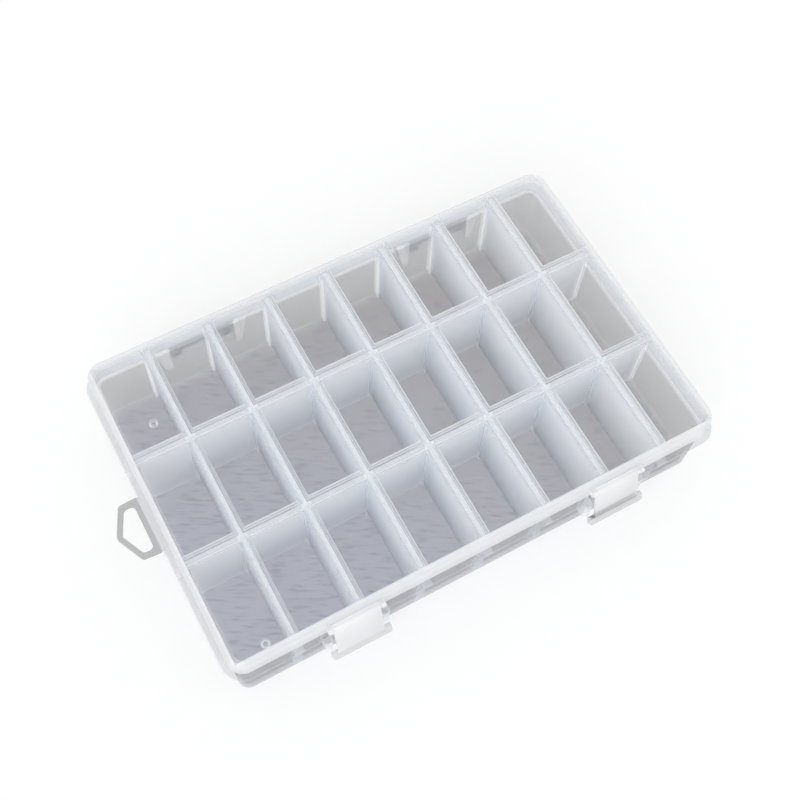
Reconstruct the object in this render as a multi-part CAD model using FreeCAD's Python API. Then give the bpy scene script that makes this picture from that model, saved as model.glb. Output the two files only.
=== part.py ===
import FreeCAD, Part
import math
import os

# Bead organizer case: a clear moulded tray of eight columns and three rows, with lift-out
# dividers, a clip-on hinged lid and two snap latches. All lengths are in millimetres.
# X runs along the long side, the latches are at -Y, the hinges at +Y and the hang loop at -X.
# The origin is the middle of the plane that the four feet stand on.

# Grid of compartments
column_count = 8
row_count = 3
end_column_width = 23.1
end_row_width = 41.2

# Lid shell
lid_length = 190.8
lid_width = 124.0
case_height = 38.0
lid_corner_radius = 6.0
lid_edge_radius = 2.0
lid_plate = 1.4
skirt_thickness = 1.1
skirt_draft = 0.4
seat_gap = 0.2

# Ribs under the lid, which straddle the dividers and the row walls
lid_rib_thickness = 1.0
lid_rib_depth = 1.6
divider_rib_gap = 0.4
row_rib_gap = 0.8
rib_end_gap = 0.8

# Tray shell
seam_height = 28.4
flange_reach = 2.0
flange_thickness = 1.4
flange_edge_chamfer = 0.5
skirt_clearance = 0.45
rim_draft = 0.7
rim_edge = 0.8
rim_gap = 0.4
wall_draft = 0.35
cavity_draft = 0.3
floor_thickness = 1.4
base_edge_radius = 1.6
row_wall_top = 1.0
row_wall_foot = 1.4

# Feet: four small rings under the corners
foot_height = 0.6
foot_diameter = 3.6
foot_bore = 1.8
foot_inset_x = 14.1
foot_inset_y = 11.7

# Dividers and the rib pairs that hold them
divider_thickness = 1.2
slot_clearance = 0.15
divider_end_gap = 0.15
divider_top_gap = 0.5
divider_corner_cut = 1.5
slot_rib_width = 0.9
slot_rib_depth = 1.2
slot_rib_drop = 0.6

# Rear hinges: a moulded pin between two ears, and two hooks on a leaf of the lid
hinge_offset = 50.8
hinge_drop = 9.2
hinge_overhang = 0.2
hinge_pin_radius = 1.2
hinge_fit = 0.06
leaf_width = 24.6
leaf_drop = 5.8
hook_width = 4.0
hook_wall = 1.2
hook_mouth_share = 0.85
hook_mouth_tilt_deg = 45.0
ear_gap = 0.6
ear_wall = 1.1
ear_top_width = 6.0
ear_foot_width = 2.6
ear_gusset_drop = 5.5

# Front latches: a T-shaped tab that hangs from two ears on the lid
latch_offset = 51.4
latch_axis_reach = 1.5
latch_axis_share = 0.65
latch_barrel_radius = 1.25
latch_pin_radius = 0.7
latch_fit = 0.06
latch_ear_width = 1.6
latch_ear_wall = 0.75
latch_ear_gap = 0.25
stem_width = 17.5
stem_thickness = 1.4
stem_flange_gap = 0.35
knee_drop = 10.0
lip_width = 22.6
lip_thickness = 1.8
lip_arm_height = 1.4
lip_reach = 0.9
lip_drop = 1.6
lip_corner_radius = 1.2

# Catch lugs on the tray, one on each side of a latch
lug_clearance = 0.5
lug_width = 3.0
lug_reach = 1.3
lug_drop = 10.4
lug_edge_radius = 1.0

# Hang loop: a flat five-sided ring at the flange
loop_offset = 0.9
loop_half_width = 11.0
loop_shoulder_reach = 7.4
loop_shoulder_half_width = 10.6
loop_reach = 12.3
loop_bar = 1.7
loop_root_bar = 2.4
loop_thickness = 2.2
loop_corner_radius = 1.6

# Length that each cutting body runs past the surface it cuts
cut_overrun = 1.0

# Places worked out from the sizes above
Vector = FreeCAD.Vector
sides = (-1, 1)
quarter_turn = math.pi / 2
lid_underside = case_height - lid_plate
lid_rib_bottom = lid_underside - lid_rib_depth
skirt_bottom = seam_height + seat_gap
rim_top = lid_rib_bottom - rim_gap
divider_top = lid_underside - divider_top_gap
flange_bottom = seam_height - flange_thickness
floor_top = foot_height + floor_thickness
skirt_mouth_inset = skirt_thickness
skirt_root_inset = skirt_thickness + skirt_draft
rim_inset = skirt_thickness + skirt_clearance
rim_top_inset = rim_inset + rim_draft
base_inset = rim_inset + wall_draft
cavity_top_inset = rim_top_inset + rim_edge
cavity_foot_inset = cavity_top_inset + cavity_draft
slot_rib_top = lid_rib_bottom - slot_rib_drop
slot_half_width = divider_thickness / 2 + slot_clearance
column_pitch = (lid_length - 2 * end_column_width) / (column_count - 2)
row_pitch = (lid_width - 2 * end_row_width) / (row_count - 2)
flange_edge_y = lid_width / 2 + flange_reach
flange_edge_x = lid_length / 2 + flange_reach
hinge_y = flange_edge_y + hinge_overhang
hinge_height = seam_height - hinge_drop
latch_y = -(lid_width / 2 + latch_axis_reach)
latch_axis_height = seam_height + latch_axis_share * (case_height - seam_height)
stem_pass_y = -(flange_edge_y + stem_flange_gap + stem_thickness / 2)
lug_front_y = -(flange_edge_y + lug_reach)
lug_bottom = seam_height - lug_drop
divider_columns = [(index - column_count / 2) * column_pitch for index in range(1, column_count)]
row_walls = [(index - row_count / 2) * row_pitch for index in range(1, row_count)]


def between(height, low_height, low_value, high_height, high_value):
    """Value at a height on the straight line between two known heights."""
    share = (height - low_height) / (high_height - low_height)
    return low_value + share * (high_value - low_value)


def cavity_inset(height):
    """Distance from the lid's outer face in to the tray's inner wall at a height."""
    return between(height, floor_top, cavity_foot_inset, rim_top, cavity_top_inset)


def row_wall_half(height):
    """Half the thickness of a row wall, which thins towards its top."""
    return between(height, floor_top, row_wall_foot / 2, divider_top, row_wall_top / 2)


def block(x0, x1, y0, y1, z0, z1):
    """Box between two corners."""
    return Part.makeBox(x1 - x0, y1 - y0, z1 - z0, Vector(x0, y0, z0))


def rod_x(x0, x1, y, z, radius):
    """Round bar along X."""
    return Part.makeCylinder(radius, x1 - x0, Vector(x0, y, z), Vector(1, 0, 0))


def prism_x(points, x0, x1):
    """Outline in Y and Z carried along X."""
    corners = [Vector(x0, y, z) for y, z in points]
    face = Part.Face(Part.makePolygon(corners + corners[:1]))
    return face.extrude(Vector(x1 - x0, 0, 0))


def prism_y(points, y0, y1):
    """Outline in X and Z carried along Y."""
    corners = [Vector(x, y0, z) for x, z in points]
    face = Part.Face(Part.makePolygon(corners + corners[:1]))
    return face.extrude(Vector(0, y1 - y0, 0))


def inset_outline(inset, height):
    """Rounded rectangle that lies a distance inside the lid's outer face."""
    radius = lid_corner_radius - inset
    half_x = lid_length / 2 - lid_corner_radius
    half_y = lid_width / 2 - lid_corner_radius
    centres = ((half_x, half_y), (-half_x, half_y), (-half_x, -half_y), (half_x, -half_y))
    arcs = []
    for turn, (x, y) in enumerate(centres):
        circle = Part.Circle(Vector(x, y, height), Vector(0, 0, 1), radius)
        start = turn * quarter_turn
        arcs.append(Part.ArcOfCircle(circle, start, start + quarter_turn))
    edges = []
    for arc, following in zip(arcs, arcs[1:] + arcs[:1]):
        edges.append(arc.toShape())
        edges.append(Part.LineSegment(arc.EndPoint, following.StartPoint).toShape())
    return Part.Wire(edges)


def straight_shell(inset, z0, z1):
    """Rounded slab with upright sides."""
    return Part.Face(inset_outline(inset, z0)).extrude(Vector(0, 0, z1 - z0))


def drafted_shell(low_inset, z0, high_inset, z1):
    """Rounded slab whose sides lean from one inset to another."""
    return Part.makeLoft([inset_outline(low_inset, z0), inset_outline(high_inset, z1)], True, True)


def level_edges(shape, height):
    """Edges of a shape that lie flat at one height."""
    levels = [(edge.BoundBox.ZMin, edge.BoundBox.ZMax, edge) for edge in shape.Edges]
    return [edge for low, high, edge in levels if math.isclose(low, height) and math.isclose(high, height)]


def upright_edges(shape):
    """Straight edges of a shape that run along Z."""
    return [edge for edge in shape.Edges if math.isclose(edge.BoundBox.ZLength, edge.Length)]


def ribbon(points, thickness):
    """Outline of a bent strip of even thickness that follows a few points."""
    directions = []
    for (y0, z0), (y1, z1) in zip(points, points[1:]):
        run = math.hypot(y1 - y0, z1 - z0)
        directions.append(((y1 - y0) / run, (z1 - z0) / run))
    left, right = [], []
    for index, (y, z) in enumerate(points):
        before = directions[max(index - 1, 0)]
        after = directions[min(index, len(directions) - 1)]
        normal = (-(before[1] + after[1]), before[0] + after[0])
        stretch = thickness / (1 + before[0] * after[0] + before[1] * after[1]) / 2
        left.append((y + normal[0] * stretch, z + normal[1] * stretch))
        right.append((y - normal[0] * stretch, z - normal[1] * stretch))
    return left + right[::-1]


def fuse_all(shapes):
    """One clean solid from shapes that overlap."""
    return shapes[0].multiFuse(shapes[1:]).removeSplitter()


def tray_shell():
    """Floor, drafted outer walls, thinner rim and the flange at the seam."""
    walls = drafted_shell(base_inset, foot_height, rim_inset, seam_height)
    walls = walls.makeFillet(base_edge_radius, level_edges(walls, foot_height))
    rim = drafted_shell(rim_inset, seam_height, rim_top_inset, rim_top)
    flange = straight_shell(-flange_reach, flange_bottom, seam_height)
    flange_edges = level_edges(flange, flange_bottom) + level_edges(flange, seam_height)
    flange = flange.makeChamfer(flange_edge_chamfer, flange_edges)
    for side in sides:
        middle = side * hinge_offset
        reach = leaf_width / 2 + ear_gap
        notch_front = lid_width / 2 - rim_inset
        flange = flange.cut(block(middle - reach, middle + reach, notch_front, flange_edge_y + cut_overrun,
                                  flange_bottom - cut_overrun, seam_height + cut_overrun))
    cavity_top = rim_top + cut_overrun
    cavity = drafted_shell(cavity_foot_inset, floor_top, cavity_inset(cavity_top), cavity_top)
    return walls.fuse(rim).fuse(flange).cut(cavity)


def tray_row_walls():
    """The two fixed walls that part the rows, thicker at the floor."""
    end = lid_length / 2 - rim_top_inset - rim_edge / 2
    foot = row_wall_half(foot_height + floor_thickness / 2)
    top = row_wall_half(divider_top)
    base = foot_height + floor_thickness / 2
    walls = []
    for y in row_walls:
        outline = [(y - foot, base), (y + foot, base), (y + top, divider_top), (y - top, divider_top)]
        walls.append(prism_x(outline, -end, end))
    return walls


def slot_faces():
    """Each wall face that holds dividers: where it is rooted, where it lies and which way it looks."""
    root = lid_width / 2 - rim_top_inset - rim_edge / 2
    face = lid_width / 2 - cavity_top_inset
    faces = [(-root, -face, 1), (root, face, -1)]
    for y in row_walls:
        for side in sides:
            faces.append((y, y + side * row_wall_top / 2, side))
    return faces


def tray_slot_ribs():
    """Upright rib pairs with sloping tops, one pair for each divider end."""
    ribs = []
    base = foot_height + floor_thickness / 2
    for root, face, side in slot_faces():
        crest = face + side * slot_rib_depth
        outline = [(root, base), (crest, base), (crest, slot_rib_top - slot_rib_depth), (face, slot_rib_top),
                   (root, slot_rib_top)]
        for x in divider_columns:
            for hand in sides:
                near = x + hand * slot_half_width
                far = near + hand * slot_rib_width
                ribs.append(prism_x(outline, min(near, far), max(near, far)))
    return ribs


def tray_hinge(middle):
    """Two gusset ears behind the rear wall and the pin between them."""
    root_y = lid_width / 2 - rim_inset - rim_edge
    ear_radius = hinge_pin_radius + ear_wall
    inner = leaf_width / 2 + ear_gap
    profile = [(root_y, seam_height), (flange_edge_y - flange_edge_chamfer, seam_height),
               (hinge_y + ear_radius, hinge_height), (hinge_y, hinge_height - ear_radius),
               (root_y, hinge_height - ear_radius - ear_gusset_drop)]
    low = hinge_height - ear_radius - ear_gusset_drop
    shapes = [rod_x(middle - inner - ear_foot_width / 2, middle + inner + ear_foot_width / 2,
                    hinge_y, hinge_height, hinge_pin_radius)]
    for side in sides:
        near = middle + side * inner
        far = near + side * ear_top_width
        plate = prism_x(profile, min(near, far), max(near, far))
        plate = plate.fuse(rod_x(min(near, far), max(near, far), hinge_y, hinge_height, ear_radius))
        slope = [(near, low), (near + side * ear_foot_width, low), (far, seam_height), (near, seam_height)]
        shapes.append(plate.common(prism_y(slope, root_y, hinge_y + ear_radius + cut_overrun)))
    return shapes


def tray_lugs(middle):
    """Two rounded catch lugs that a latch's stem passes between."""
    lugs = []
    root_y = -(lid_width / 2 - rim_inset - rim_edge)
    inner = stem_width / 2 + lug_clearance
    for side in sides:
        near = middle + side * inner
        far = near + side * lug_width
        lug = block(min(near, far), max(near, far), lug_front_y, root_y, lug_bottom, seam_height)
        front = [edge for edge in upright_edges(lug) if math.isclose(edge.BoundBox.YMax, lug_front_y)]
        lugs.append(lug.makeFillet(lug_edge_radius, front))
    return lugs


def loop_outline(root_x):
    """Five-sided outline of the hang loop from a root line out to its tip."""
    shoulder_x = -(flange_edge_x + loop_shoulder_reach)
    tip_x = -(flange_edge_x + loop_reach)
    corners = [(root_x, loop_half_width), (shoulder_x, loop_shoulder_half_width), (tip_x, 0),
               (shoulder_x, -loop_shoulder_half_width), (root_x, -loop_half_width)]
    return Part.makePolygon([Vector(x, y + loop_offset, 0) for x, y in corners + corners[:1]])


def tray_hang_loop():
    """Flat ring at the flange with rounded corners inside and out."""
    outer = loop_outline(-(flange_edge_x - flange_edge_chamfer))
    inner = loop_outline(-(flange_edge_x + loop_root_bar - loop_bar)).makeOffset2D(-loop_bar)
    slabs = []
    for outline in (outer, inner):
        slab = Part.Face(outline).extrude(Vector(0, 0, loop_thickness))
        slab = slab.makeFillet(loop_corner_radius, upright_edges(slab))
        slab.translate(Vector(0, 0, seam_height - loop_thickness))
        slabs.append(slab)
    return slabs[0].cut(slabs[1])


def tray_feet():
    """Four ring feet under the corners of the floor."""
    feet = []
    x = lid_length / 2 - base_inset - foot_inset_x
    y = lid_width / 2 - base_inset - foot_inset_y
    top = foot_height + floor_thickness / 2
    for side_x in sides:
        for side_y in sides:
            centre = Vector(side_x * x, side_y * y, 0)
            ring = Part.makeCylinder(foot_diameter / 2, top, centre)
            feet.append(ring.cut(Part.makeCylinder(foot_bore / 2, foot_height, centre)))
    return feet


def base_tray():
    """The tray with everything that is moulded in one piece with it."""
    shapes = [tray_shell()] + tray_row_walls() + tray_slot_ribs() + tray_feet() + [tray_hang_loop()]
    for side in sides:
        shapes += tray_hinge(side * hinge_offset)
        shapes += tray_lugs(side * latch_offset)
    return fuse_all(shapes)


def divider_ends(row):
    """Low and high Y of a row's dividers at the floor and at the top."""
    limits = []
    for height in (floor_top, divider_top):
        outer = lid_width / 2 - cavity_inset(height) - divider_end_gap
        inner = row_wall_half(height) + divider_end_gap
        low = -outer if row == 0 else row_walls[row - 1] + inner
        high = outer if row == row_count - 1 else row_walls[row] - inner
        limits.append((low, high))
    return limits


def divider(x, row):
    """Slat with cut lower corners that slides down between two rib pairs."""
    (low_foot, high_foot), (low_top, high_top) = divider_ends(row)
    cut = divider_corner_cut
    outline = [(low_foot + cut, floor_top), (high_foot - cut, floor_top), (high_foot, floor_top + cut),
               (high_top, divider_top), (low_top, divider_top), (low_foot, floor_top + cut)]
    return prism_x(outline, x - divider_thickness / 2, x + divider_thickness / 2)


def lid_shell():
    """Flat plate with a rounded edge and a drafted skirt."""
    shell = straight_shell(0, skirt_bottom, case_height)
    shell = shell.makeFillet(lid_edge_radius, level_edges(shell, case_height))
    mouth_bottom = skirt_bottom - cut_overrun
    mouth_inset = between(mouth_bottom, skirt_bottom, skirt_mouth_inset, lid_underside, skirt_root_inset)
    return shell.cut(drafted_shell(mouth_inset, mouth_bottom, skirt_root_inset, lid_underside))


def frame_limits(walls, half_wall, gap, end, index):
    """Span of a rib frame along one direction, and which of its two ends run beside a wall."""
    low = -(end - rib_end_gap) if index == 0 else walls[index - 1] + half_wall + gap
    high = end - rib_end_gap if index == len(walls) else walls[index] - half_wall - gap
    return low, high, index > 0, index < len(walls)


def lid_ribs():
    """Rib frames, one for each compartment, open towards the outer walls."""
    end_x = lid_length / 2 - skirt_root_inset
    end_y = lid_width / 2 - skirt_root_inset
    top = lid_underside + lid_plate / 2
    ribs = []
    for column in range(column_count):
        half_divider = divider_thickness / 2
        x0, x1, left, right = frame_limits(divider_columns, half_divider, divider_rib_gap, end_x, column)
        for row in range(row_count):
            y0, y1, front, rear = frame_limits(row_walls, row_wall_top / 2, row_rib_gap, end_y, row)
            spans = [(left, x0, x0 + lid_rib_thickness, y0, y1), (right, x1 - lid_rib_thickness, x1, y0, y1),
                     (front, x0, x1, y0, y0 + lid_rib_thickness), (rear, x0, x1, y1 - lid_rib_thickness, y1)]
            ribs += [block(*span, lid_rib_bottom, top) for beside_wall, *span in spans if beside_wall]
    return ribs


def hook(x0, x1):
    """C-shaped clip around the hinge pin with its neck up to the leaf."""
    bore = hinge_pin_radius + hinge_fit
    outer = bore + hook_wall
    leaf_face = lid_width / 2 - skirt_mouth_inset
    leaf_bottom = skirt_bottom - leaf_drop
    neck = block(x0, x1, leaf_face, hinge_y, hinge_height, leaf_bottom + hook_wall)
    clip = rod_x(x0, x1, hinge_y, hinge_height, outer).fuse(neck)
    half_mouth = hinge_pin_radius * hook_mouth_share
    low = hinge_height - outer - cut_overrun
    mouth = block(x0 - cut_overrun, x1 + cut_overrun, hinge_y - half_mouth, hinge_y + half_mouth,
                  low, hinge_height)
    mouth.rotate(Vector(x0, hinge_y, hinge_height), Vector(1, 0, 0), hook_mouth_tilt_deg)
    drill = rod_x(x0 - cut_overrun, x1 + cut_overrun, hinge_y, hinge_height, bore)
    return clip.cut(drill).cut(mouth)


def lid_hinge(middle):
    """Leaf that carries the rear skirt down to the hinge, with a hook at each end."""
    leaf_face = lid_width / 2 - skirt_mouth_inset
    half = leaf_width / 2
    shapes = [block(middle - half, middle + half, leaf_face, lid_width / 2, skirt_bottom - leaf_drop,
                    skirt_bottom + skirt_thickness)]
    shapes.append(hook(middle - half, middle - half + hook_width))
    shapes.append(hook(middle + half - hook_width, middle + half))
    return shapes


def lid_latch_ears(middle):
    """Two ears on the front skirt with the holes that a latch's pins turn in."""
    radius = latch_pin_radius + latch_fit + latch_ear_wall
    root_y = -(lid_width / 2 - skirt_thickness / 2)
    ears = []
    for side in sides:
        near = middle + side * (stem_width / 2 + latch_ear_gap)
        far = near + side * latch_ear_width
        x0, x1 = min(near, far), max(near, far)
        ear = rod_x(x0, x1, latch_y, latch_axis_height, radius)
        ear = ear.fuse(block(x0, x1, latch_y, root_y, latch_axis_height - radius, latch_axis_height + radius))
        hole = rod_x(x0 - cut_overrun, x1 + cut_overrun, latch_y, latch_axis_height,
                     latch_pin_radius + latch_fit)
        ears.append(ear.cut(hole))
    return ears


def lid():
    """The lid with its ribs, hinge leaves and latch ears."""
    shapes = [lid_shell()] + lid_ribs()
    for side in sides:
        shapes += lid_hinge(side * hinge_offset)
        shapes += lid_latch_ears(side * latch_offset)
    return fuse_all(shapes)


def latch(middle):
    """T-shaped latch: a barrel with two pins, a slanted stem and a wide finger lip."""
    knee_height = seam_height - knee_drop
    arm_height = knee_height + lip_arm_height
    knee = (between(knee_height, seam_height, stem_pass_y, latch_axis_height, latch_y), knee_height)
    arm = (between(arm_height, seam_height, stem_pass_y, latch_axis_height, latch_y), arm_height)
    tip = (knee[0] - lip_reach, knee[1] - lip_drop)
    stem_half = stem_width / 2
    pin_half = stem_half + latch_ear_gap + latch_ear_width
    lip_half = lip_width / 2
    barrel = rod_x(middle - stem_half, middle + stem_half, latch_y, latch_axis_height, latch_barrel_radius)
    pins = rod_x(middle - pin_half, middle + pin_half, latch_y, latch_axis_height, latch_pin_radius)
    stem_outline = ribbon([(latch_y, latch_axis_height), knee], stem_thickness)
    stem = prism_x(stem_outline, middle - stem_half, middle + stem_half)
    lip = prism_x(ribbon([arm, knee, tip], lip_thickness), middle - lip_half, middle + lip_half)
    across = [edge for edge in lip.Edges if math.isclose(edge.Length, lip_thickness)]
    lowest = [edge for edge in across if edge.BoundBox.ZMax < knee_height]
    lip = lip.makeFillet(lip_corner_radius, lowest)
    return fuse_all([barrel, pins, stem, lip])


def main():
    """Write each piece of the case to its own file."""
    os.makedirs("parts", exist_ok=True)
    pieces = {"base_tray": base_tray(), "lid": lid()}
    pieces["left_latch"] = latch(-latch_offset)
    pieces["right_latch"] = latch(latch_offset)
    row_names = ("front", "middle", "rear")
    for row in range(row_count):
        for number, x in enumerate(divider_columns, start=1):
            pieces[f"{row_names[row]}_divider_{number}"] = divider(x, row)
    for name, shape in pieces.items():
        print(name, "valid", shape.isValid(), "solids", len(shape.Solids), "volume", round(shape.Volume, 1))
        shape.exportStep(f"parts/{name}.step")


if __name__ == "__main__":
    main()
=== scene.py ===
"""Looks of a clear bead organizer case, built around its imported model."""

import logging
import math
from dataclasses import dataclass
from enum import Enum

import bmesh
import bpy
from mathutils import Matrix, Vector


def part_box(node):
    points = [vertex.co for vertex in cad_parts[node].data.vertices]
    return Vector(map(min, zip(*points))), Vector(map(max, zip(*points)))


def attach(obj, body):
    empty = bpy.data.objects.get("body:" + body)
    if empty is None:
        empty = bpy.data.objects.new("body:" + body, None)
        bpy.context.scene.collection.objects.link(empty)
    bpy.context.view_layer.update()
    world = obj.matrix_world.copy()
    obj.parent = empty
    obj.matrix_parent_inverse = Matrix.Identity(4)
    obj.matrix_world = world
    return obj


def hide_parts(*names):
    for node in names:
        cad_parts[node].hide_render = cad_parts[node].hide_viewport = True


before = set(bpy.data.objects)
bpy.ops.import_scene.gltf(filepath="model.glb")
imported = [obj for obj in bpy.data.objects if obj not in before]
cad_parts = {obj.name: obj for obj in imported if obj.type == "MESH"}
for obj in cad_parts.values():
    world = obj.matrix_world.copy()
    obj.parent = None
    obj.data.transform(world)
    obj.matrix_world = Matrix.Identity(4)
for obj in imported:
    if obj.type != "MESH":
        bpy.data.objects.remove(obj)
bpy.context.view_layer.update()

LOG = logging.getLogger("bead_case")
MM = 0.001
Colour = tuple[float, float, float]
Socket = bpy.types.NodeSocket
Places = dict[str, Socket]

PLASTIC_IOR = 1.49
SOFT_BORDER = 0.3 * MM
WIDE_BORDER = 0.4 * MM
MARGIN = 0.05 * MM
MIX_COLOUR_INPUTS = slice(6, 8)
MIX_COLOUR_OUTPUT = 2


class Body(Enum):
    """Bodies that carry the pieces made here."""

    BASE = "base"
    LEFT_LATCH = "left_latch"
    RIGHT_LATCH = "right_latch"


class Row(Enum):
    """Rows of compartments, from the latches to the hinges."""

    FRONT = "front"
    MIDDLE = "middle"
    REAR = "rear"


@dataclass(frozen=True)
class CaseSizes:
    """Sizes of the case that the finishes follow, in metres."""

    column_pitch: float = 24.1 * MM
    row_wall_y: float = 20.8 * MM
    row_wall_half: float = 0.8 * MM
    slot_half: float = 1.6 * MM
    floor_top: float = 2.0 * MM
    lid_underside: float = 36.6 * MM
    rib_end_x: float = 93.3 * MM
    rib_end_y: float = 59.9 * MM
    divider_top: float = 36.1 * MM
    foot_x: float = 79.4 * MM
    foot_y: float = 48.4 * MM
    foot_ring: float = 1.35 * MM
    foot_ring_half: float = 0.35 * MM
    flange_bottom: float = 27.0 * MM
    flange_top: float = 28.4 * MM
    tray_half_width: float = 60.6 * MM
    tray_half_length: float = 94.0 * MM
    lid_half_width: float = 62.0 * MM
    lid_half_length: float = 95.4 * MM
    loop_root_x: float = -97.5 * MM
    columns: int = 8


CASE = CaseSizes()


class Graph:
    """Small helper that adds and joins shader nodes."""

    def __init__(self, name: str) -> None:
        """Start an empty material.

        Args:
            name: Name of the material.
        """
        self.material = bpy.data.materials.new(name)
        self.material.use_nodes = True
        self.tree = self.material.node_tree
        self.tree.nodes.clear()
        coordinate = self.node("ShaderNodeTexCoord")
        self.place = coordinate.outputs["Object"]
        split = self.node("ShaderNodeSeparateXYZ")
        self.feed(split.inputs[0], self.place)
        self.x, self.y, self.z = split.outputs
        facing = self.node("ShaderNodeSeparateXYZ")
        self.feed(facing.inputs[0], coordinate.outputs["Normal"])
        self.facing_z = facing.outputs[2]

    def node(self, kind: str, **settings: object) -> bpy.types.Node:
        """Add a node and set its properties.

        Args:
            kind: Blender's node type.
            settings: Properties of the node.

        Returns:
            The new node.
        """
        made = self.tree.nodes.new(kind)
        for key, value in settings.items():
            setattr(made, key, value)
        return made

    def feed(self, socket: Socket, value: object) -> None:
        """Set a socket, or link it where the value is an output.

        Args:
            socket: Input to fill.
            value: Number, colour, vector or output socket.
        """
        if isinstance(value, bpy.types.NodeSocket):
            self.tree.links.new(value, socket)
        else:
            socket.default_value = value

    def math(self, operation: str, first: object, second: object = 0.0,
             third: object = 0.0, clamp: bool = False) -> Socket:
        """Add a math node.

        Args:
            operation: Blender's name of the operation.
            first: First operand.
            second: Second operand.
            third: Third operand, for a multiply-add.
            clamp: Whether the result is kept between 0 and 1.

        Returns:
            The result's socket.
        """
        made = self.node("ShaderNodeMath", operation=operation, use_clamp=clamp)
        for socket, value in zip(made.inputs, (first, second, third)):
            self.feed(socket, value)
        return made.outputs[0]

    def ramp(self, value: object, low: float, high: float,
             start: float = 0.0, end: float = 1.0) -> Socket:
        """Map a value smoothly from one range to another.

        Args:
            value: Value to map.
            low: Value that gives the start.
            high: Value that gives the end.
            start: Result at the low value.
            end: Result at the high value.

        Returns:
            The result's socket.
        """
        made = self.node("ShaderNodeMapRange", interpolation_type="SMOOTHSTEP")
        for socket, number in zip(made.inputs, (value, low, high, start, end)):
            self.feed(socket, number)
        return made.outputs[0]

    def blend(self, share: object, first: object, second: object) -> Socket:
        """Mix two colours.

        Args:
            share: Share of the second colour.
            first: Colour at share 0.
            second: Colour at share 1.

        Returns:
            The colour's socket.
        """
        made = self.node("ShaderNodeMix", data_type="RGBA")
        self.feed(made.inputs["Factor"], share)
        for socket, value in zip(made.inputs[MIX_COLOUR_INPUTS], (first, second)):
            self.feed(socket, (*value, 1.0) if isinstance(value, tuple) else value)
        return made.outputs[MIX_COLOUR_OUTPUT]

    def noise(self, scale: float, detail: float, stretch: Colour = (1.0, 1.0, 1.0),
              turn: float = 0.0) -> Socket:
        """Noise on a stretched and turned object coordinate.

        Args:
            scale: Scale of the noise.
            detail: Octaves of the noise.
            stretch: Scale of the coordinate along each axis.
            turn: Turn of the coordinate about Z in radians.

        Returns:
            The noise's value.
        """
        turned = self.node("ShaderNodeMapping")
        self.feed(turned.inputs["Vector"], self.place)
        self.feed(turned.inputs["Rotation"], (0.0, 0.0, turn))
        mapping = self.node("ShaderNodeMapping")
        self.feed(mapping.inputs["Vector"], turned.outputs["Vector"])
        self.feed(mapping.inputs["Scale"], stretch)
        made = self.node("ShaderNodeTexNoise")
        self.feed(made.inputs["Vector"], mapping.outputs["Vector"])
        self.feed(made.inputs["Scale"], scale)
        self.feed(made.inputs["Detail"], detail)
        return made.outputs["Fac"]


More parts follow.
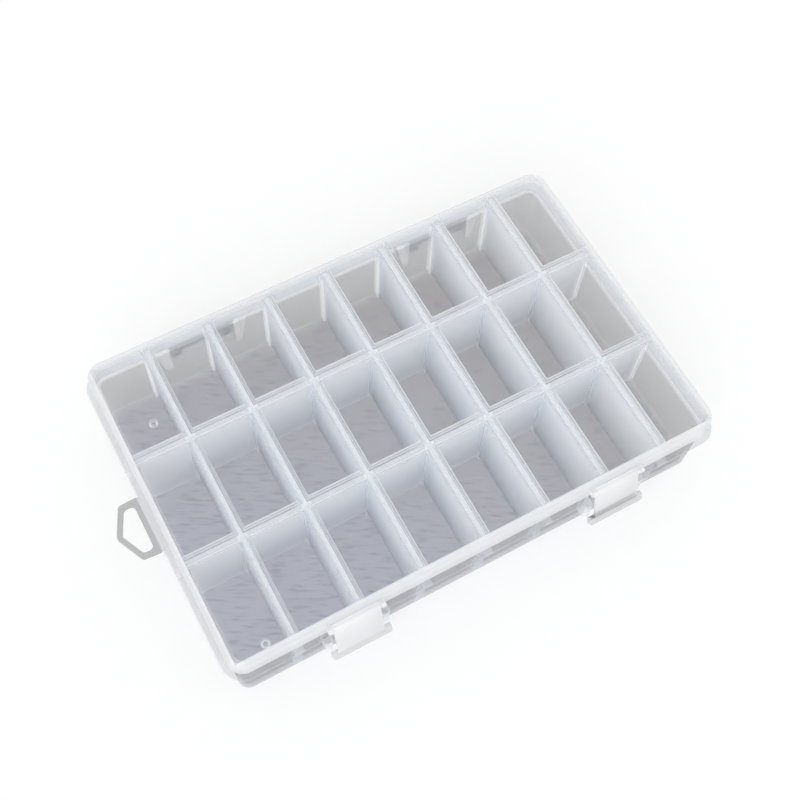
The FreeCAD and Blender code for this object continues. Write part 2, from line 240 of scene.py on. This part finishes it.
@dataclass(frozen=True)
class ClearPlastic:
    """Moulded natural polypropylene: clear with some haze, which grows where the wall is thick."""

    name: str
    tint: Colour
    body: Colour
    haze: float
    edge_haze: float
    roughness: float
    shine: float
    glow: float
    cloud: float = 0.05
    cloud_scale: float = 55.0
    grain_scale: float = 420.0
    grain_span: tuple[float, float] = (0.3, 0.7)
    grain_range: tuple[float, float] = (0.7, 1.4)
    ripple_scale: float = 160.0
    ripple_height: float = 0.2 * MM
    ripple_strength: float = 0.08

    def places(self, graph: Graph) -> Places:
        """Masks of the places that differ from a plain wall; this one has none."""
        return {}

    def extra_haze(self, graph: Graph, places: Places) -> list[Socket]:
        """Places where the moulding is thicker; a plain wall has none."""
        return []

    def pass_colour(self, graph: Graph, places: Places) -> object:
        """Colour of the light that passes; the same all over a plain wall."""
        return (*self.tint, 1.0)

    def glow_share(self, graph: Graph, places: Places) -> object:
        """Share of the milky part that is lit from behind; the same all over a plain wall."""
        return self.glow

    def scatter(self, graph: Graph, places: Places) -> Socket:
        """Glossy milky part of the plastic, lit from both of its sides.

        Args:
            graph: Material in the making.
            places: Masks by name.

        Returns:
            The shader's socket.
        """
        plastic = graph.node("ShaderNodeBsdfPrincipled")
        plastic.inputs["Base Color"].default_value = (*self.body, 1.0)
        plastic.inputs["IOR"].default_value = PLASTIC_IOR
        plastic.inputs["Specular IOR Level"].default_value = self.shine
        smoothest, roughest = (self.roughness * share for share in self.grain_range)
        grain = graph.noise(self.grain_scale, 1.0)
        rough = graph.ramp(grain, *self.grain_span, smoothest, roughest)
        graph.feed(plastic.inputs["Roughness"], rough)
        bump = graph.node("ShaderNodeBump")
        bump.inputs["Strength"].default_value = self.ripple_strength
        bump.inputs["Distance"].default_value = self.ripple_height
        graph.feed(bump.inputs["Height"], graph.noise(self.ripple_scale, 0.0))
        graph.feed(plastic.inputs["Normal"], bump.outputs[0])
        inner = graph.node("ShaderNodeBsdfTranslucent")
        inner.inputs["Color"].default_value = (*self.body, 1.0)
        milk = graph.node("ShaderNodeMixShader")
        graph.feed(milk.inputs[0], self.glow_share(graph, places))
        graph.feed(milk.inputs[1], plastic.outputs[0])
        graph.feed(milk.inputs[2], inner.outputs[0])
        return milk.outputs[0]

    def make(self) -> bpy.types.Material:
        """Build the material.

        Returns:
            The finished material.
        """
        graph = Graph(self.name)
        places = self.places(graph)
        clouds = graph.noise(self.cloud_scale, 2.0)
        haze = graph.math("MULTIPLY_ADD", clouds, self.cloud, self.haze - self.cloud / 2)
        for extra in self.extra_haze(graph, places):
            haze = graph.math("ADD", haze, extra)
        fresnel = graph.node("ShaderNodeFresnel")
        fresnel.inputs["IOR"].default_value = PLASTIC_IOR
        haze = graph.math("MULTIPLY_ADD", fresnel.outputs[0], self.edge_haze, haze, clamp=True)
        passing = graph.node("ShaderNodeBsdfTransparent")
        graph.feed(passing.inputs[0], self.pass_colour(graph, places))
        mixed = graph.node("ShaderNodeMixShader")
        graph.feed(mixed.inputs[0], haze)
        graph.feed(mixed.inputs[1], passing.outputs[0])
        graph.feed(mixed.inputs[2], self.scatter(graph, places))
        out = graph.node("ShaderNodeOutputMaterial")
        graph.feed(out.inputs["Surface"], mixed.outputs[0])
        return graph.material


@dataclass(frozen=True)
class TrayPlastic(ClearPlastic):
    """Tray: milky row walls, slot ribs, lugs and feet, and a floor tinted darker with painted
    shade.
    """

    wall_haze: float = 0.42
    outer_glow: float = 0.2
    slot_haze: float = 0.22
    fitting_haze: float = 0.3
    # Floor tints: painted shade of the ground beneath, with a painted cool light colour at the
    # front left and a warm one at the rear right.
    painted_shade_cool_light_tint: Colour = (0.765, 0.77, 0.812)
    painted_shade_warm_light_tint: Colour = (0.735, 0.722, 0.722)
    mark_tint: Colour = (0.675, 0.675, 0.71)
    clear_tint: Colour = (0.99, 0.994, 1.0)
    flange_tint: Colour = (0.88, 0.88, 0.882)
    loop_tint: Colour = (0.68, 0.68, 0.675)
    painted_light_reach: float = 110.0 * MM
    mark_scale: float = 150.0
    mark_stretch: Colour = (1.0, 8.0, 1.0)
    mark_turn: float = math.radians(28.8)
    mark_range: tuple[float, float] = (0.53, 0.68)
    ring_border: float = 0.15 * MM

    def places(self, graph: Graph) -> Places:
        """Masks of the walls, slots, fittings, feet, flange, rim and hang loop.

        Args:
            graph: Material in the making.

        Returns:
            The masks by name.
        """
        above = graph.ramp(graph.z, CASE.floor_top, CASE.floor_top + SOFT_BORDER)
        depth = graph.math("ABSOLUTE", graph.y)
        off_wall = graph.math("ABSOLUTE", graph.math("SUBTRACT", depth, CASE.row_wall_y))
        wall_half, slot_half = CASE.row_wall_half, CASE.slot_half
        in_wall = graph.ramp(off_wall, wall_half, wall_half + WIDE_BORDER, 1.0, 0.0)
        off_slot = graph.math("PINGPONG", graph.x, CASE.column_pitch / 2)
        in_slot = graph.ramp(off_slot, slot_half, slot_half + WIDE_BORDER, 1.0, 0.0)
        outside = graph.ramp(depth, CASE.tray_half_width, CASE.tray_half_width + SOFT_BORDER)
        along = graph.math("ABSOLUTE", graph.x)
        past_end = graph.ramp(along, CASE.tray_half_length, CASE.tray_half_length + SOFT_BORDER)
        below_flange = graph.math("LESS_THAN", graph.z, CASE.flange_bottom - MARGIN)
        from_flange = graph.math("SUBTRACT", 1.0, below_flange)
        return {
            "above": above,
            "row_wall": graph.math("MULTIPLY", in_wall, above),
            "slot": graph.math("MULTIPLY", in_slot, above),
            "fitting": graph.math("MULTIPLY", outside, below_flange),
            "foot": self.ring_feet(graph, along, depth),
            "flange": graph.math("MULTIPLY", graph.math("MAXIMUM", outside, past_end), from_flange),
            "rim": graph.ramp(graph.z, CASE.flange_top, CASE.flange_top + SOFT_BORDER),
            "loop": graph.ramp(graph.x, CASE.loop_root_x - WIDE_BORDER, CASE.loop_root_x, 1.0, 0.0),
        }

    def ring_feet(self, graph: Graph, length: Socket, depth: Socket) -> Socket:
        """Mask of the four ring feet, which show as pale circles in the floor.

        Args:
            graph: Material in the making.
            length: Distance from the middle along X.
            depth: Distance from the middle along Y.

        Returns:
            The mask.
        """
        along = graph.math("SUBTRACT", length, CASE.foot_x)
        across = graph.math("SUBTRACT", depth, CASE.foot_y)
        squares = graph.math("MULTIPLY_ADD", along, along, graph.math("MULTIPLY", across, across))
        radius = graph.math("SQRT", squares)
        off_ring = graph.math("ABSOLUTE", graph.math("SUBTRACT", radius, CASE.foot_ring))
        border = CASE.foot_ring_half + self.ring_border
        return graph.ramp(off_ring, CASE.foot_ring_half, border, 1.0, 0.0)

    def extra_haze(self, graph: Graph, places: Places) -> list[Socket]:
        """More haze in the row walls, beside the divider slots and in the fittings.

        Args:
            graph: Material in the making.
            places: Masks by name.

        Returns:
            Haze to add, one share for each kind of place.
        """
        shares = {
            "row_wall": self.wall_haze,
            "slot": self.slot_haze,
            "fitting": self.fitting_haze,
        }
        return [graph.math("MULTIPLY", places[name], share) for name, share in shares.items()]

    def glow_share(self, graph: Graph, places: Places) -> object:
        """Less glow in the outer walls than in the floor and the inner walls.

        Args:
            graph: Material in the making.
            places: Masks by name.

        Returns:
            The share's socket.
        """
        inner = graph.math("MAXIMUM", places["row_wall"], places["slot"])
        outer = graph.math("SUBTRACT", places["above"], inner, clamp=True)
        return graph.math("MULTIPLY_ADD", outer, self.outer_glow - self.glow, self.glow)

    def pass_colour(self, graph: Graph, places: Places) -> object:
        """Darker at the floor with painted shade and a painted light colour, cool at the front left
        and warm at the rear right, with its fine flow marks, and clearer in the inner walls.

        Args:
            graph: Material in the making.
            places: Masks by name.

        Returns:
            The colour's socket.
        """
        # Painted light colour across the floor, cool at the front left and warm at the rear right,
        # on top of its painted shade.
        diagonal = graph.math("ADD", graph.x, graph.y)
        painted_light_warmth = graph.ramp(diagonal, -self.painted_light_reach, self.painted_light_reach)
        painted_shade_floor = graph.blend(painted_light_warmth, self.painted_shade_cool_light_tint, self.painted_shade_warm_light_tint)
        flow = graph.noise(self.mark_scale, 2.0, self.mark_stretch, self.mark_turn)
        floor = graph.blend(graph.ramp(flow, *self.mark_range), painted_shade_floor, self.mark_tint)
        # Outer walls take the tray's grey tint, which is painted shade.
        walls = graph.blend(places["above"], floor, self.tint)
        inner = places["row_wall"]
        for name in ("slot", "fitting", "foot", "rim"):
            inner = graph.math("MAXIMUM", inner, places[name])
        cleared = graph.blend(inner, walls, self.clear_tint)
        shell = graph.blend(places["flange"], cleared, self.flange_tint)
        return graph.blend(places["loop"], shell, self.loop_tint)


@dataclass(frozen=True)
class LidPlastic(ClearPlastic):
    """Lid: the ribs under the plate, the skirt and the hinge leaves are thicker and so whiter."""

    rib_haze: float = 0.15
    skirt_haze: float = 0.45
    leaf_haze: float = 0.45
    rib_side_haze: float = 0.52
    skirt_glow: float = 0.15
    leaf_glow: float = 0.9
    # Painted shade: greyer rib sides and rounded edge, standing for dark refraction lines.
    painted_rib_side_shade_tint: Colour = (0.93, 0.93, 0.935)
    painted_edge_shade_tint: Colour = (0.8, 0.8, 0.805)
    edge_width: float = 0.9 * MM
    edge_depth: float = 0.6 * MM
    leaf_border: float = 0.2 * MM
    crest_facing: float = -0.5

    def places(self, graph: Graph) -> Places:
        """Masks of the rib crests and sides, the skirt, the rounded edge and the hinge leaves.

        Args:
            graph: Material in the making.

        Returns:
            The masks by name.
        """
        below = graph.math("LESS_THAN", graph.z, CASE.lid_underside - MARGIN)
        along, across = (graph.math("ABSOLUTE", axis) for axis in (graph.x, graph.y))
        inside_x = graph.math("LESS_THAN", along, CASE.rib_end_x)
        inside_y = graph.math("LESS_THAN", across, CASE.rib_end_y)
        end = graph.math("GREATER_THAN", along, CASE.lid_half_length - self.edge_width)
        flank = graph.math("GREATER_THAN", across, CASE.lid_half_width - self.edge_width)
        high = graph.math("GREATER_THAN", graph.z, CASE.lid_underside - self.edge_depth)
        inside = graph.math("MULTIPLY", inside_x, inside_y)
        ribs = graph.math("MULTIPLY", below, inside)
        down = graph.math("LESS_THAN", graph.facing_z, self.crest_facing)
        crest = graph.math("MULTIPLY", ribs, down)
        return {
            "crest": crest,
            "side": graph.math("SUBTRACT", ribs, crest),
            "skirt": graph.math("SUBTRACT", 1.0, inside),
            "edge": graph.math("MULTIPLY", graph.math("MAXIMUM", end, flank), high),
            "leaf": graph.ramp(graph.y, CASE.lid_half_width,
                               CASE.lid_half_width + self.leaf_border),
        }

    def extra_haze(self, graph: Graph, places: Places) -> list[Socket]:
        """More haze in the ribs, in the skirt and in the hinge leaves.

        Args:
            graph: Material in the making.
            places: Masks by name.

        Returns:
            Haze to add, one share for each kind of place.
        """
        shares = {
            "crest": self.rib_haze,
            "side": self.rib_side_haze,
            "skirt": self.skirt_haze,
            "leaf": self.leaf_haze,
        }
        return [graph.math("MULTIPLY", places[name], share) for name, share in shares.items()]

    def glow_share(self, graph: Graph, places: Places) -> object:
        """Less glow in the skirt than in the plate and its ribs, and more in the hinge leaves.

        Args:
            graph: Material in the making.
            places: Masks by name.

        Returns:
            The share's socket.
        """
        less, more = self.skirt_glow - self.glow, self.leaf_glow - self.skirt_glow
        plain = graph.math("MULTIPLY_ADD", places["skirt"], less, self.glow)
        return graph.math("MULTIPLY_ADD", places["leaf"], more, plain)

    def pass_colour(self, graph: Graph, places: Places) -> object:
        """Clear all over but for the rib sides and the rounded edge, which are greyed with painted
        shade for the light they turn away.

        Args:
            graph: Material in the making.
            places: Masks by name.

        Returns:
            The colour's socket.
        """
        plate = graph.blend(places["side"], self.tint, self.painted_rib_side_shade_tint)
        return graph.blend(places["edge"], plate, self.painted_edge_shade_tint)


@dataclass(frozen=True)
class DividerPlastic(ClearPlastic):
    """Dividers: looked at along the sheet, the top edge is the whitest place."""

    edge: float = 0.3
    edge_start: float = CASE.divider_top - 0.5 * MM
    edge_end: float = CASE.divider_top - 0.2 * MM

    def extra_haze(self, graph: Graph, places: Places) -> list[Socket]:
        """More haze at the top edge.

        Args:
            graph: Material in the making.
            places: Masks by name.

        Returns:
            Haze to add.
        """
        return [graph.ramp(graph.z, self.edge_start, self.edge_end, 0.0, self.edge)]


@dataclass(frozen=True)
class LatchPlastic(ClearPlastic):
    """Latches: a milky stem, and a lip that is seen edge on and greyed with painted shade."""

    lip_top: float = 19.4 * MM
    lip_border: float = 0.8 * MM
    # The lip's grey tint is painted shade.
    painted_lip_shade_tint: Colour = (0.76, 0.76, 0.755)

    def pass_colour(self, graph: Graph, places: Places) -> object:
        """Greyer in the lip than in the stem, by painted shade.

        Args:
            graph: Material in the making.
            places: Masks by name.

        Returns:
            The colour's socket.
        """
        stem = graph.ramp(graph.z, self.lip_top, self.lip_top + self.lip_border)
        return graph.blend(stem, self.painted_lip_shade_tint, self.tint)


# The tray's grey tint is painted shade: it stands for the shaded grey ground seen through the clear
# walls.
TRAY_FINISH = TrayPlastic(
    name="clear_tray", tint=(0.76, 0.757, 0.755), body=(0.975, 0.986, 1.0),
    haze=0.09, edge_haze=0.3, roughness=0.18, shine=0.3, glow=0.8)
LID_FINISH = LidPlastic(
    name="clear_lid", tint=(0.995, 0.995, 0.995), body=(0.945, 0.95, 0.955),
    haze=0.02, edge_haze=0.3, roughness=0.12, shine=0.5, glow=0.7)
LATCH_FINISH = LatchPlastic(
    name="clear_latch", tint=(0.97, 0.97, 0.975), body=(0.99, 0.99, 0.99),
    haze=0.38, edge_haze=0.9, roughness=0.16, shine=0.5, glow=0.4)
DIVIDER_FINISH = DividerPlastic(
    name="milky_divider", tint=(0.99, 0.994, 1.0), body=(0.972, 0.985, 1.0),
    haze=0.58, edge_haze=0.5, roughness=0.25, shine=0.12, glow=0.85)


class MeshPiece:
    """A piece that is made in the script and stands for one or more CAD nodes."""

    MERGE_DISTANCE: float = 0.0005 * MM
    FLAT_ANGLE: float = math.radians(0.4)
    SHARP_ANGLE: float = math.radians(35.0)
    SMOOTH_ANGLE: float = math.radians(32.0)
    ROUND_STEPS: int = 2

    @classmethod
    def merged(cls, node: str) -> bmesh.types.BMesh:
        """Closed copy of a CAD node with its flat faces joined.

        Args:
            node: Name of the node.

        Returns:
            The copy, to be freed by the caller.
        """
        copy = bmesh.new()
        copy.from_mesh(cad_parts[node].data)
        bmesh.ops.remove_doubles(copy, verts=copy.verts, dist=cls.MERGE_DISTANCE)
        bmesh.ops.dissolve_limit(copy, angle_limit=cls.FLAT_ANGLE,
                                 verts=copy.verts, edges=copy.edges)
        return copy

    @classmethod
    def round_edges(cls, copy: bmesh.types.BMesh, width: float) -> None:
        """Round the sharp edges of a copy.

        Args:
            copy: Copy to change.
            width: Width of the rounding.
        """
        sharp = [edge for edge in copy.edges
                 if edge.is_manifold and edge.calc_face_angle() > cls.SHARP_ANGLE]
        bmesh.ops.bevel(copy, geom=sharp, offset=width, segments=cls.ROUND_STEPS, profile=0.5,
                        affect="EDGES", clamp_overlap=True)
        bmesh.ops.recalc_face_normals(copy, faces=copy.faces)

    @classmethod
    def as_mesh(cls, copy: bmesh.types.BMesh, name: str) -> bpy.types.Mesh:
        """Plain mesh of a copy, smooth where its faces nearly meet.

        Args:
            copy: Copy to turn into a mesh and free.
            name: Name of the mesh.

        Returns:
            The mesh.
        """
        mesh = bpy.data.meshes.new(name)
        copy.to_mesh(mesh)
        copy.free()
        mesh.shade_smooth()
        mesh.set_sharp_from_angle(angle=cls.SMOOTH_ANGLE)
        return mesh

    @staticmethod
    def place(mesh: bpy.types.Mesh, body: Body, slot: str,
              nodes: list[str]) -> bpy.types.Object:
        """Put a finished mesh into the scene on its body.

        Args:
            mesh: Finished mesh, named as the piece.
            body: Body that carries the piece.
            slot: Material slot in the record; not used.
            nodes: CAD nodes that the piece stands for.

        Returns:
            The piece.
        """
        piece = bpy.data.objects.new(mesh.name, mesh)
        bpy.context.scene.collection.objects.link(piece)
        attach(piece, body.value)
        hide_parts(*nodes)
        LOG.info("piece %s: %d faces", piece.name, len(mesh.polygons))
        return piece


@dataclass
class DividerRow:
    """Lift-out dividers of one row, set out by Geometry Nodes."""

    row: Row
    count: int = CASE.columns - 1
    pitch: float = CASE.column_pitch
    edge_round: float = 0.18 * MM

    def node(self, number: int) -> str:
        """Name of the CAD node of a divider."""
        return f"{self.row.value}_divider_{number}"

    def slat(self) -> bpy.types.Mesh:
        """One divider with rounded edges, in the middle of the row.

        Returns:
            The divider's mesh.
        """
        middle = self.node((self.count + 1) // 2)
        copy = MeshPiece.merged(middle)
        MeshPiece.round_edges(copy, self.edge_round)
        low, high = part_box(middle)
        centre = (low[0] + high[0]) / 2
        bmesh.ops.translate(copy, vec=(-centre, 0.0, 0.0), verts=copy.verts)
        return MeshPiece.as_mesh(copy, f"{self.row.value}_slat")

    def tree(self) -> tuple[bpy.types.GeometryNodeTree, dict[str, str]]:
        """Node tree that repeats the slat along the row.

        Returns:
            The tree, and the identifier of each of its inputs by name.
        """
        tree = bpy.data.node_groups.new("divider_row", "GeometryNodeTree")
        kinds = {
            "Slat": "NodeSocketGeometry",
            "Count": "NodeSocketInt",
            "Start": "NodeSocketVector",
            "Step": "NodeSocketVector",
            "Finish": "NodeSocketMaterial",
        }
        names = {name: tree.interface.new_socket(name, in_out="INPUT", socket_type=kind).identifier
                 for name, kind in kinds.items()}
        tree.interface.new_socket("Row", in_out="OUTPUT", socket_type="NodeSocketGeometry")
        given = tree.nodes.new("NodeGroupInput").outputs
        line = tree.nodes.new("GeometryNodeMeshLine")
        spread = tree.nodes.new("GeometryNodeInstanceOnPoints")
        real = tree.nodes.new("GeometryNodeRealizeInstances")
        finish = tree.nodes.new("GeometryNodeSetMaterial")
        result = tree.nodes.new("NodeGroupOutput")
        links = (
            (given["Count"], line.inputs["Count"]),
            (given["Start"], line.inputs["Start Location"]),
            (given["Step"], line.inputs["Offset"]),
            (line.outputs["Mesh"], spread.inputs["Points"]),
            (given["Slat"], spread.inputs["Instance"]),
            (spread.outputs["Instances"], real.inputs["Geometry"]),
            (real.outputs["Geometry"], finish.inputs["Geometry"]),
            (given["Finish"], finish.inputs["Material"]),
            (finish.outputs["Geometry"], result.inputs["Row"]),
        )
        for start, end in links:
            tree.links.new(start, end)
        return tree, names

    def build(self, finish: bpy.types.Material) -> bpy.types.Object:
        """Make the row as one piece.

        Args:
            finish: Material of the dividers.

        Returns:
            The piece.
        """
        maker = bpy.data.objects.new(f"{self.row.value}_maker", self.slat())
        bpy.context.scene.collection.objects.link(maker)
        tree, names = self.tree()
        modifier = maker.modifiers.new("divider_row", "NODES")
        modifier.node_group = tree
        modifier[names["Count"]] = self.count
        modifier[names["Start"]] = (-self.pitch * (self.count - 1) / 2, 0.0, 0.0)
        modifier[names["Step"]] = (self.pitch, 0.0, 0.0)
        modifier[names["Finish"]] = finish
        graph = bpy.context.evaluated_depsgraph_get()
        mesh = bpy.data.meshes.new_from_object(maker.evaluated_get(graph))
        mesh.name = f"{self.row.value}_dividers"
        maker.modifiers.remove(modifier)
        bpy.data.objects.remove(maker)
        nodes = [self.node(number) for number in range(1, self.count + 1)]
        return MeshPiece.place(mesh, Body.BASE, "milky_divider", nodes)


@dataclass
class Tray:
    """Base tray and its lift-out dividers."""

    def build(self) -> None:
        """Dress the tray and set out the dividers."""
        paint("base_tray", TRAY_FINISH.make())
        milky = DIVIDER_FINISH.make()
        for row in Row:
            DividerRow(row).build(milky)


@dataclass
class Latch:
    """One front latch with softened edges."""

    body: Body
    edge_round: float = 0.22 * MM

    def build(self, finish: bpy.types.Material) -> bpy.types.Object:
        """Make the latch as one piece.

        Args:
            finish: Material of the latch.

        Returns:
            The piece.
        """
        copy = MeshPiece.merged(self.body.value)
        MeshPiece.round_edges(copy, self.edge_round)
        mesh = MeshPiece.as_mesh(copy, f"{self.body.value}_tab")
        mesh.materials.append(finish)
        return MeshPiece.place(mesh, self.body, "clear_latch", [self.body.value])


@dataclass
class Lid:
    """Lid and its two latches."""

    def build(self) -> None:
        """Dress the lid and make the latches."""
        paint("lid", LID_FINISH.make())
        finish = LATCH_FINISH.make()
        for body in (Body.LEFT_LATCH, Body.RIGHT_LATCH):
            Latch(body).build(finish)


def paint(node: str, material: bpy.types.Material) -> None:
    """Put a material on a CAD node.

    Args:
        node: Name of the node.
        material: Finish to show.
    """
    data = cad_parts[node].data
    data.materials.clear()
    data.materials.append(material)
    LOG.info("finish %s on %s", material.name, node)


@dataclass
class Studio:
    """Floor, light and camera."""

    camera_place: Vector = Vector((-0.10688, -0.16559, 0.42964))
    camera_aim: Vector = Vector((0.00893, 0.01394, 0.0))
    camera_roll: float = math.radians(4.48)
    lens: float = 55.53
    sensor: float = 36.0
    nearest: float = 0.01
    sky: float = 0.8
    sun_power: float = 1.35
    sun_spread: float = math.radians(50.0)
    sun_from: Vector = Vector((-0.5, -0.58, 0.64))
    sun_colour: Colour = (0.95, 0.97, 1.0)
    floor_size: float = 6.0
    floor_drop: float = 0.1 * MM
    floor_colour: Colour = (0.96, 0.96, 0.96)
    floor_glow: float = 0.6
    transparent_bounces: int = 64
    diffuse_bounces: int = 16
    bounces: int = 24

    def build(self) -> None:
        """Make the floor, the world, the sun and the camera."""
        self.light_paths()
        self.floor()
        self.world()
        self.sun()
        self.camera()

    def light_paths(self) -> None:
        """Let light pass the many clear walls of the case."""
        paths = bpy.context.scene.cycles
        paths.transparent_max_bounces = self.transparent_bounces
        paths.diffuse_bounces = self.diffuse_bounces
        paths.max_bounces = self.bounces

    def floor(self) -> None:
        """White floor that keeps the shadow of the case."""
        mesh = bpy.data.meshes.new("studio_floor")
        half = self.floor_size / 2
        signs = ((-1, -1), (1, -1), (1, 1), (-1, 1))
        corners = [(x * half, y * half, -self.floor_drop) for x, y in signs]
        mesh.from_pydata(corners, [], [(0, 1, 2, 3)])
        floor = bpy.data.objects.new("studio_floor", mesh)
        bpy.context.scene.collection.objects.link(floor)
        graph = Graph("studio_floor")
        white = graph.node("ShaderNodeBsdfDiffuse")
        white.inputs["Color"].default_value = (*self.floor_colour, 1.0)
        seen = graph.node("ShaderNodeEmission")
        seen.inputs["Strength"].default_value = 1.0
        path = graph.node("ShaderNodeLightPath")
        mixed = graph.node("ShaderNodeMixShader")
        share = graph.math("MULTIPLY", path.outputs["Is Camera Ray"], self.floor_glow)
        graph.feed(mixed.inputs[0], share)
        graph.feed(mixed.inputs[1], white.outputs[0])
        graph.feed(mixed.inputs[2], seen.outputs[0])
        out = graph.node("ShaderNodeOutputMaterial")
        graph.feed(out.inputs["Surface"], mixed.outputs[0])
        mesh.materials.append(graph.material)

    def world(self) -> None:
        """Even sky, white where the camera or a reflection sees it."""
        world = bpy.data.worlds.new("studio_sky")
        world.use_nodes = True
        bpy.context.scene.world = world
        tree = world.node_tree
        tree.nodes.clear()
        path = tree.nodes.new("ShaderNodeLightPath")
        seen = path.outputs["Is Camera Ray"]
        for name in ("Is Glossy Ray", "Is Transmission Ray"):
            both = tree.nodes.new("ShaderNodeMath")
            both.operation = "MAXIMUM"
            tree.links.new(seen, both.inputs[0])
            tree.links.new(path.outputs[name], both.inputs[1])
            seen = both.outputs[0]
        level = tree.nodes.new("ShaderNodeMapRange")
        level.inputs["To Min"].default_value = self.sky
        level.inputs["To Max"].default_value = 1.0
        tree.links.new(seen, level.inputs["Value"])
        sky = tree.nodes.new("ShaderNodeBackground")
        sky.inputs["Color"].default_value = (1.0, 1.0, 1.0, 1.0)
        tree.links.new(level.outputs[0], sky.inputs["Strength"])
        out = tree.nodes.new("ShaderNodeOutputWorld")
        tree.links.new(sky.outputs[0], out.inputs["Surface"])

    def sun(self) -> None:
        """Broad soft key light from the front left."""
        light = bpy.data.lights.new("studio_key", "SUN")
        light.energy = self.sun_power
        light.angle = self.sun_spread
        light.color = self.sun_colour
        lamp = bpy.data.objects.new("studio_key", light)
        lamp.rotation_euler = self.sun_from.to_track_quat("Z", "Y").to_euler()
        bpy.context.scene.collection.objects.link(lamp)

    def camera(self) -> None:
        """Camera at the photograph's viewing angle."""
        data = bpy.data.cameras.new("photo_camera")
        data.lens = self.lens
        data.sensor_width = self.sensor
        data.clip_start = self.nearest
        camera = bpy.data.objects.new("photo_camera", data)
        sight = self.camera_aim - self.camera_place
        turn = sight.to_track_quat("-Z", "Y").to_matrix().to_4x4()
        roll = Matrix.Rotation(self.camera_roll, 4, "Z")
        camera.matrix_world = Matrix.Translation(self.camera_place) @ turn @ roll
        bpy.context.scene.collection.objects.link(camera)
        bpy.context.scene.camera = camera


def main() -> None:
    """Dress the case and set up the studio."""
    logging.basicConfig(level=logging.INFO)
    bpy.context.scene.view_settings.view_transform = "Standard"
    Tray().build()
    Lid().build()
    Studio().build()


if __name__ == "__main__":
    main()
